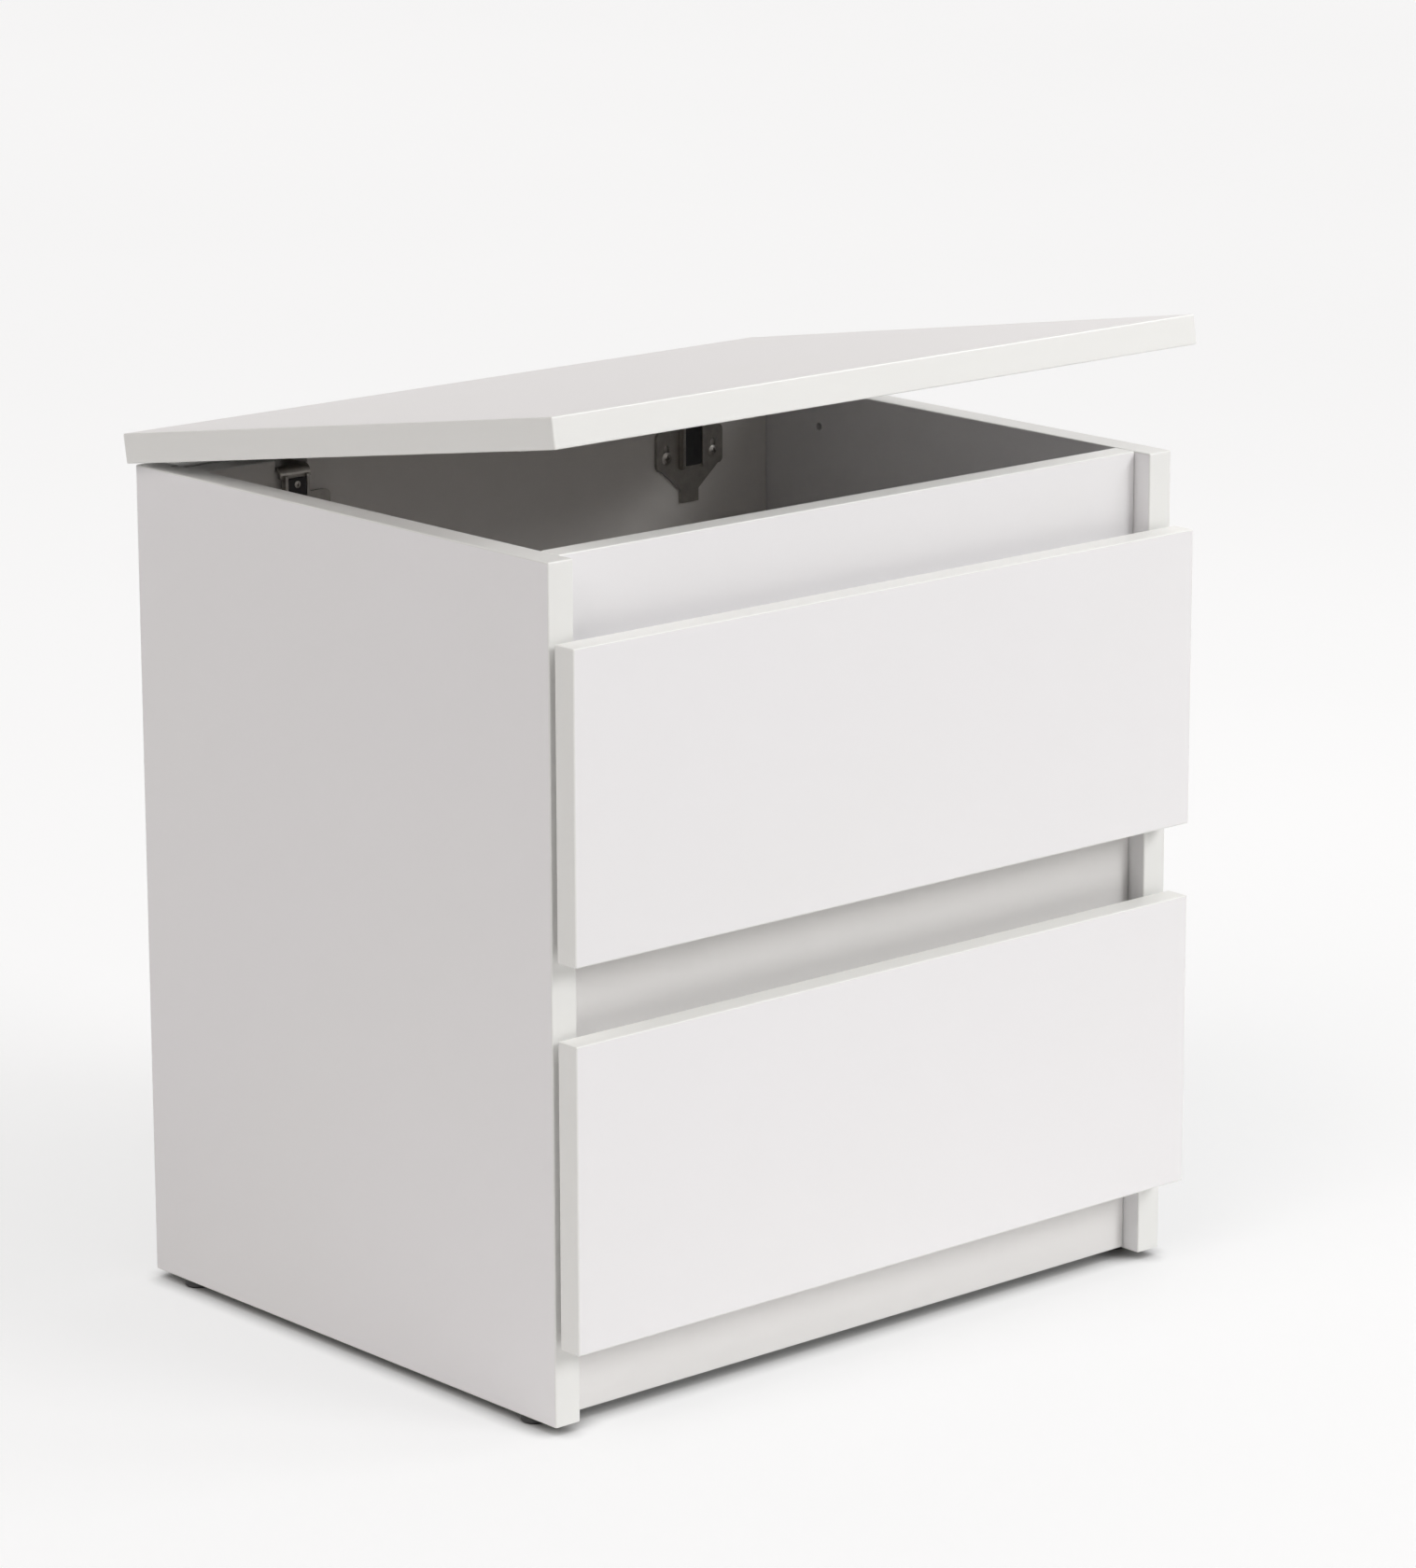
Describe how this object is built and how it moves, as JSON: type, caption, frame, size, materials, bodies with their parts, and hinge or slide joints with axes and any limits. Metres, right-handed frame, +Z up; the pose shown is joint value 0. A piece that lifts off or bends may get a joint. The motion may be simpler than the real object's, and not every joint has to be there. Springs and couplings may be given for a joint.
{
  "type": "nightstand with lift-up lid",
  "caption": "White nightstand with overlay drawer fronts, finger gaps and a friction-hinged lid over a storage compartment.",
  "frame": {"origin": "on the floor, at the middle of the outline with the lid standing partly open and the drawers closed", "axes": "+Z up, -Y out of the drawer fronts, +X to the right of someone who faces them"},
  "size_m": [0.497, 0.4035, 0.5879],
  "materials": {
    "white_melamine": "satin white melamine with matching edge band",
    "white_hardboard": "matt white lacquered hardboard",
    "nickel_steel": "nickel plated, semi-gloss",
    "zinc_steel": "bright zinc plated",
    "black_plastic": "matt",
    "clear_rubber": "smooth, cloudy"
  },
  "bodies": {
    "carcass": {"side_panel_left": "white_melamine", "side_panel_right": "white_melamine", "plinth_board": "white_melamine", "rear_plinth_board": "white_melamine", "bottom_panel": "white_melamine", "middle_rail": "white_melamine", "compartment_front_rail": "white_melamine", "compartment_floor": "white_melamine", "hinge_rail": "white_melamine", "back_panel": "white_hardboard", "rear_top_rail": "white_melamine", "glide_front_left": "black_plastic", "glide_front_right": "black_plastic", "glide_rear_left": "black_plastic", "glide_rear_right": "black_plastic", "hinge_plate_left": "nickel_steel", "hinge_plate_right": "nickel_steel", "hinge_arm_left": "nickel_steel", "hinge_arm_right": "nickel_steel", "hinge_cap_left": "black_plastic", "hinge_cap_right": "black_plastic", "hinge_pin_left": "nickel_steel", "hinge_pin_right": "nickel_steel", "lower_runner_cabinet_member_left": "zinc_steel", "lower_runner_cabinet_member_right": "zinc_steel", "upper_runner_cabinet_member_left": "zinc_steel", "upper_runner_cabinet_member_right": "zinc_steel"},
    "lid": {"lid_panel": "white_melamine", "hinge_leaf_left": "nickel_steel", "hinge_leaf_right": "nickel_steel", "lid_bumper_front_left": "clear_rubber", "lid_bumper_front_right": "clear_rubber", "lid_bumper_rear_left": "clear_rubber", "lid_bumper_rear_right": "clear_rubber"},
    "lower_drawer": {"lower_drawer_front": "white_melamine", "lower_drawer_inner_front": "white_melamine", "lower_drawer_back": "white_melamine", "lower_drawer_bottom": "white_hardboard", "lower_drawer_side_left": "white_melamine", "lower_drawer_side_right": "white_melamine", "lower_drawer_bumper_left": "clear_rubber", "lower_drawer_bumper_right": "clear_rubber", "lower_runner_drawer_member_left": "zinc_steel", "lower_runner_drawer_member_right": "zinc_steel"},
    "lower_runner_middle": {"lower_runner_middle_member_left": "zinc_steel", "lower_runner_middle_member_right": "zinc_steel"},
    "upper_drawer": {"upper_drawer_front": "white_melamine", "upper_drawer_inner_front": "white_melamine", "upper_drawer_back": "white_melamine", "upper_drawer_bottom": "white_hardboard", "upper_drawer_side_left": "white_melamine", "upper_drawer_side_right": "white_melamine", "upper_drawer_bumper_left": "clear_rubber", "upper_drawer_bumper_right": "clear_rubber", "upper_runner_drawer_member_left": "zinc_steel", "upper_runner_drawer_member_right": "zinc_steel"},
    "upper_runner_middle": {"upper_runner_middle_member_left": "zinc_steel", "upper_runner_middle_member_right": "zinc_steel"}
  },
  "joints": [
    {"name": "lid_hinge", "type": "hinge", "parent": "carcass", "child": "lid", "pos_m": [0, 0.19519, 0.50175], "axis": [-1, 0, 0], "range_deg": [-9.25, 80.75]},
    {"name": "lower_drawer_slide", "type": "slide", "parent": "carcass", "child": "lower_drawer", "axis": [0, -1, 0], "range_m": [0, 0.32]},
    {"name": "lower_runner_slide", "type": "slide", "parent": "carcass", "child": "lower_runner_middle", "axis": [0, -1, 0], "range_m": [0, 0.16]},
    {"name": "upper_drawer_slide", "type": "slide", "parent": "carcass", "child": "upper_drawer", "axis": [0, -1, 0], "range_m": [0, 0.32]},
    {"name": "upper_runner_slide", "type": "slide", "parent": "carcass", "child": "upper_runner_middle", "axis": [0, -1, 0], "range_m": [0, 0.16]}
  ],
  "couplings": [
    {"joint": "lower_runner_slide", "follows": "lower_drawer_slide", "ratio": 0.5},
    {"joint": "upper_runner_slide", "follows": "upper_drawer_slide", "ratio": 0.5}
  ]
}
